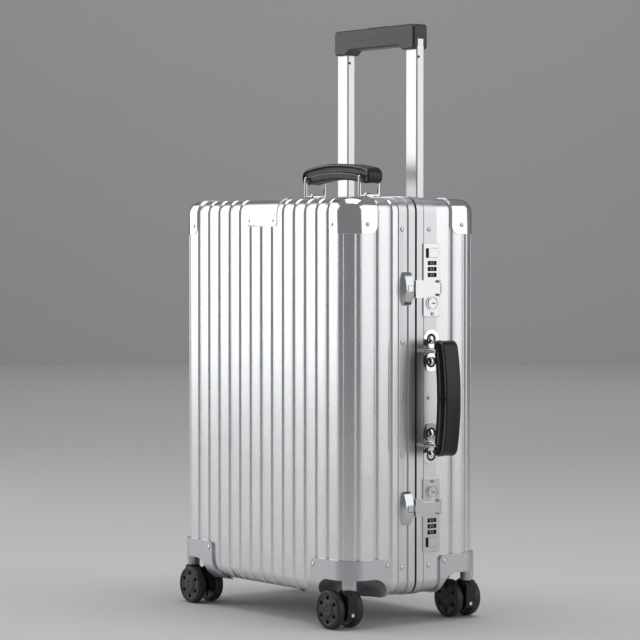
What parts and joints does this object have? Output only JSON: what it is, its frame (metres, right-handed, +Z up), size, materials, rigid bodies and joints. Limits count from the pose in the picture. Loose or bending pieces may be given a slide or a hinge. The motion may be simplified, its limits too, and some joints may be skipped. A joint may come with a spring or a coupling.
{
  "type": "hard shell suitcase",
  "caption": "Upright ribbed aluminium suitcase in two hinged halves, with twin wheel swivel casters, latches with number dials, leather carrying handles and a telescopic trolley.",
  "frame": {"origin": "on the floor, under the middle of the case between the four casters", "axes": "+Z up; +X towards the side with the locks and the side handle; -Y towards the wide face of the lid half, +Y towards the half with the trolley"},
  "size_m": [0.4381, 0.2352, 0.7862],
  "materials": {
    "ribbed_aluminium": "anodised, brushed, bright",
    "frame_aluminium": "brushed extrusion",
    "polished_aluminium": "polished",
    "satin_aluminium": "satin, blasted",
    "rivet_steel": "polished rivet heads",
    "chrome": "chrome plated",
    "tube_aluminium": "satin anodised",
    "black_plastic": "moulded, fine grain",
    "handle_plastic": "moulded, satin",
    "leather": "grained, stitched",
    "seal_rubber": "matt",
    "lining_fabric": "woven",
    "wheel_rubber": "matt"
  },
  "bodies": {
    "rear_half": {"rear_shell": "ribbed_aluminium", "rear_frame": "frame_aluminium", "rear_lining": "lining_fabric", "seam_seal": "seal_rubber", "rear_rivets": "rivet_steel", "rear_corner_caps": "polished_aluminium", "rear_wheel_housings": "satin_aluminium", "top_handle_brackets": "chrome", "side_handle_brackets": "chrome", "rear_hinge_leaves": "chrome", "hinge_pins": "rivet_steel", "trolley_outer_tubes": "tube_aluminium", "trolley_feet": "black_plastic", "trolley_bezel": "black_plastic", "upper_lock_plate": "chrome", "lower_lock_plate": "chrome"},
    "front_half": {"front_shell": "ribbed_aluminium", "front_frame": "frame_aluminium", "front_lining": "lining_fabric", "front_rivets": "rivet_steel", "front_corner_caps": "polished_aluminium", "front_wheel_housings": "satin_aluminium", "badge_plate": "polished_aluminium", "lock_keepers": "chrome", "front_hinge_leaves": "chrome"},
    "trolley_mid": {"trolley_mid_tubes": "tube_aluminium"},
    "trolley_handle": {"trolley_inner_tubes": "tube_aluminium", "trolley_stop_pins": "black_plastic", "trolley_grip": "handle_plastic"},
    "trolley_button": {"trolley_button": "handle_plastic"},
    "top_bail_left": {"top_bail_left": "chrome"},
    "top_bail_right": {"top_bail_right": "chrome"},
    "top_grip": {"top_grip": "leather"},
    "side_bail_upper": {"side_bail_upper": "chrome"},
    "side_bail_lower": {"side_bail_lower": "chrome"},
    "side_grip": {"side_grip": "leather"},
    "upper_lever": {"upper_lock_lever": "chrome"},
    "upper_slider": {"upper_lock_slider": "chrome"},
    "upper_key_barrel": {"upper_lock_key_barrel": "chrome"},
    "upper_dial_1": {"upper_lock_dial_1": "black_plastic"},
    "upper_dial_2": {"upper_lock_dial_2": "black_plastic"},
    "upper_dial_3": {"upper_lock_dial_3": "black_plastic"},
    "lower_lever": {"lower_lock_lever": "chrome"},
    "lower_slider": {"lower_lock_slider": "chrome"},
    "lower_key_barrel": {"lower_lock_key_barrel": "chrome"},
    "lower_dial_1": {"lower_lock_dial_1": "black_plastic"},
    "lower_dial_2": {"lower_lock_dial_2": "black_plastic"},
    "lower_dial_3": {"lower_lock_dial_3": "black_plastic"},
    "caster_front_left": {"caster_fork_front_left": "black_plastic"},
    "wheel_front_left_outer": {"wheel_front_left_outer": "wheel_rubber"},
    "wheel_front_left_inner": {"wheel_front_left_inner": "wheel_rubber"},
    "caster_front_right": {"caster_fork_front_right": "black_plastic"},
    "wheel_front_right_outer": {"wheel_front_right_outer": "wheel_rubber"},
    "wheel_front_right_inner": {"wheel_front_right_inner": "wheel_rubber"},
    "caster_rear_left": {"caster_fork_rear_left": "black_plastic"},
    "wheel_rear_left_outer": {"wheel_rear_left_outer": "wheel_rubber"},
    "wheel_rear_left_inner": {"wheel_rear_left_inner": "wheel_rubber"},
    "caster_rear_right": {"caster_fork_rear_right": "black_plastic"},
    "wheel_rear_right_outer": {"wheel_rear_right_outer": "wheel_rubber"},
    "wheel_rear_right_inner": {"wheel_rear_right_inner": "wheel_rubber"}
  },
  "joints": [
    {"name": "lid_hinge", "type": "hinge", "parent": "rear_half", "child": "front_half", "pos_m": [-0.195, 0, 0.295], "axis": [0, 0, -1], "range_deg": [0, 110]},
    {"name": "trolley_upper_stage", "type": "slide", "parent": "rear_half", "child": "trolley_mid", "axis": [0, 0, 1], "range_m": [0, 0.2]},
    {"name": "trolley_lower_stage", "type": "slide", "parent": "trolley_mid", "child": "trolley_handle", "axis": [0, 0, 1], "range_m": [-0.235, 0]},
    {"name": "trolley_button_press", "type": "slide", "parent": "trolley_handle", "child": "trolley_button", "axis": [0, 0, -1], "range_m": [0, 0.003], "stiffness_N_per_m": 400, "springref_m": -0.002},
    {"name": "top_bail_left_swing", "type": "hinge", "parent": "rear_half", "child": "top_bail_left", "pos_m": [-0.0605, 0.025, 0.5555], "axis": [0, 1, 0], "range_deg": [-48, 48]},
    {"name": "top_bail_right_swing", "type": "hinge", "parent": "rear_half", "child": "top_bail_right", "pos_m": [0.0605, 0.025, 0.5555], "axis": [0, 1, 0], "range_deg": [-48, 48]},
    {"name": "top_grip_swing", "type": "hinge", "parent": "top_bail_left", "child": "top_grip", "pos_m": [-0.0605, 0.025, 0.5805], "axis": [0, 1, 0], "range_deg": [-48, 48]},
    {"name": "side_bail_upper_swing", "type": "hinge", "parent": "rear_half", "child": "side_bail_upper", "pos_m": [0.1955, 0.025, 0.3535], "axis": [0, 1, 0], "range_deg": [-48, 48]},
    {"name": "side_bail_lower_swing", "type": "hinge", "parent": "rear_half", "child": "side_bail_lower", "pos_m": [0.1955, 0.025, 0.2325], "axis": [0, 1, 0], "range_deg": [-48, 48]},
    {"name": "side_grip_swing", "type": "hinge", "parent": "side_bail_upper", "child": "side_grip", "pos_m": [0.2205, 0.025, 0.3535], "axis": [0, 1, 0], "range_deg": [-48, 48]},
    {"name": "upper_lever_swing", "type": "hinge", "parent": "rear_half", "child": "upper_lever", "pos_m": [0.1968, 0.0366, 0.434], "axis": [0, 0, 1], "range_deg": [0, 80]},
    {"name": "upper_slider_slide", "type": "slide", "parent": "rear_half", "child": "upper_slider", "axis": [0, -1, 0], "range_m": [0, 0.004]},
    {"name": "upper_key_turn", "type": "hinge", "parent": "rear_half", "child": "upper_key_barrel", "pos_m": [0.19, 0.0252, 0.4145], "axis": [1, 0, 0], "range_deg": [0, 90]},
    {"name": "upper_dial_1_spin", "type": "hinge", "parent": "rear_half", "child": "upper_dial_1", "pos_m": [0.1883, 0.0252, 0.4665], "axis": [0, 0, 1], "continuous": true},
    {"name": "upper_dial_2_spin", "type": "hinge", "parent": "rear_half", "child": "upper_dial_2", "pos_m": [0.1883, 0.0252, 0.4588], "axis": [0, 0, 1], "continuous": true},
    {"name": "upper_dial_3_spin", "type": "hinge", "parent": "rear_half", "child": "upper_dial_3", "pos_m": [0.1883, 0.0252, 0.4511], "axis": [0, 0, 1], "continuous": true},
    {"name": "lower_lever_swing", "type": "hinge", "parent": "rear_half", "child": "lower_lever", "pos_m": [0.1968, 0.0366, 0.1508], "axis": [0, 0, 1], "range_deg": [0, 80]},
    {"name": "lower_slider_slide", "type": "slide", "parent": "rear_half", "child": "lower_slider", "axis": [0, -1, 0], "range_m": [0, 0.004]},
    {"name": "lower_key_turn", "type": "hinge", "parent": "rear_half", "child": "lower_key_barrel", "pos_m": [0.19, 0.0252, 0.1703], "axis": [1, 0, 0], "range_deg": [0, 90]},
    {"name": "lower_dial_1_spin", "type": "hinge", "parent": "rear_half", "child": "lower_dial_1", "pos_m": [0.1883, 0.0252, 0.1183], "axis": [0, 0, 1], "continuous": true},
    {"name": "lower_dial_2_spin", "type": "hinge", "parent": "rear_half", "child": "lower_dial_2", "pos_m": [0.1883, 0.0252, 0.126], "axis": [0, 0, 1], "continuous": true},
    {"name": "lower_dial_3_spin", "type": "hinge", "parent": "rear_half", "child": "lower_dial_3", "pos_m": [0.1883, 0.0252, 0.1337], "axis": [0, 0, 1], "continuous": true},
    {"name": "caster_front_left_swivel", "type": "hinge", "parent": "front_half", "child": "caster_front_left", "pos_m": [-0.1795, -0.097, 0.05], "axis": [0, 0, 1], "continuous": true},
    {"name": "wheel_front_left_outer_roll", "type": "hinge", "parent": "caster_front_left", "child": "wheel_front_left_outer", "pos_m": [-0.1588, -0.11135, 0.025], "axis": [0, 1, 0], "continuous": true},
    {"name": "wheel_front_left_inner_roll", "type": "hinge", "parent": "caster_front_left", "child": "wheel_front_left_inner", "pos_m": [-0.1588, -0.08265, 0.025], "axis": [0, 1, 0], "continuous": true},
    {"name": "caster_front_right_swivel", "type": "hinge", "parent": "front_half", "child": "caster_front_right", "pos_m": [0.1795, -0.097, 0.05], "axis": [0, 0, 1], "continuous": true},
    {"name": "wheel_front_right_outer_roll", "type": "hinge", "parent": "caster_front_right", "child": "wheel_front_right_outer", "pos_m": [0.1588, -0.11135, 0.025], "axis": [0, 1, 0], "continuous": true},
    {"name": "wheel_front_right_inner_roll", "type": "hinge", "parent": "caster_front_right", "child": "wheel_front_right_inner", "pos_m": [0.1588, -0.08265, 0.025], "axis": [0, 1, 0], "continuous": true},
    {"name": "caster_rear_left_swivel", "type": "hinge", "parent": "rear_half", "child": "caster_rear_left", "pos_m": [-0.1795, 0.097, 0.05], "axis": [0, 0, 1], "continuous": true},
    {"name": "wheel_rear_left_outer_roll", "type": "hinge", "parent": "caster_rear_left", "child": "wheel_rear_left_outer", "pos_m": [-0.1588, 0.11135, 0.025], "axis": [0, 1, 0], "continuous": true},
    {"name": "wheel_rear_left_inner_roll", "type": "hinge", "parent": "caster_rear_left", "child": "wheel_rear_left_inner", "pos_m": [-0.1588, 0.08265, 0.025], "axis": [0, 1, 0], "continuous": true},
    {"name": "caster_rear_right_swivel", "type": "hinge", "parent": "rear_half", "child": "caster_rear_right", "pos_m": [0.1795, 0.097, 0.05], "axis": [0, 0, 1], "continuous": true},
    {"name": "wheel_rear_right_outer_roll", "type": "hinge", "parent": "caster_rear_right", "child": "wheel_rear_right_outer", "pos_m": [0.1588, 0.11135, 0.025], "axis": [0, 1, 0], "continuous": true},
    {"name": "wheel_rear_right_inner_roll", "type": "hinge", "parent": "caster_rear_right", "child": "wheel_rear_right_inner", "pos_m": [0.1588, 0.08265, 0.025], "axis": [0, 1, 0], "continuous": true}
  ],
  "couplings": [
    {"joint": "top_bail_right_swing", "follows": "top_bail_left_swing", "ratio": 1},
    {"joint": "top_grip_swing", "follows": "top_bail_left_swing", "ratio": -1},
    {"joint": "side_bail_lower_swing", "follows": "side_bail_upper_swing", "ratio": 1},
    {"joint": "side_grip_swing", "follows": "side_bail_upper_swing", "ratio": -1}
  ]
}
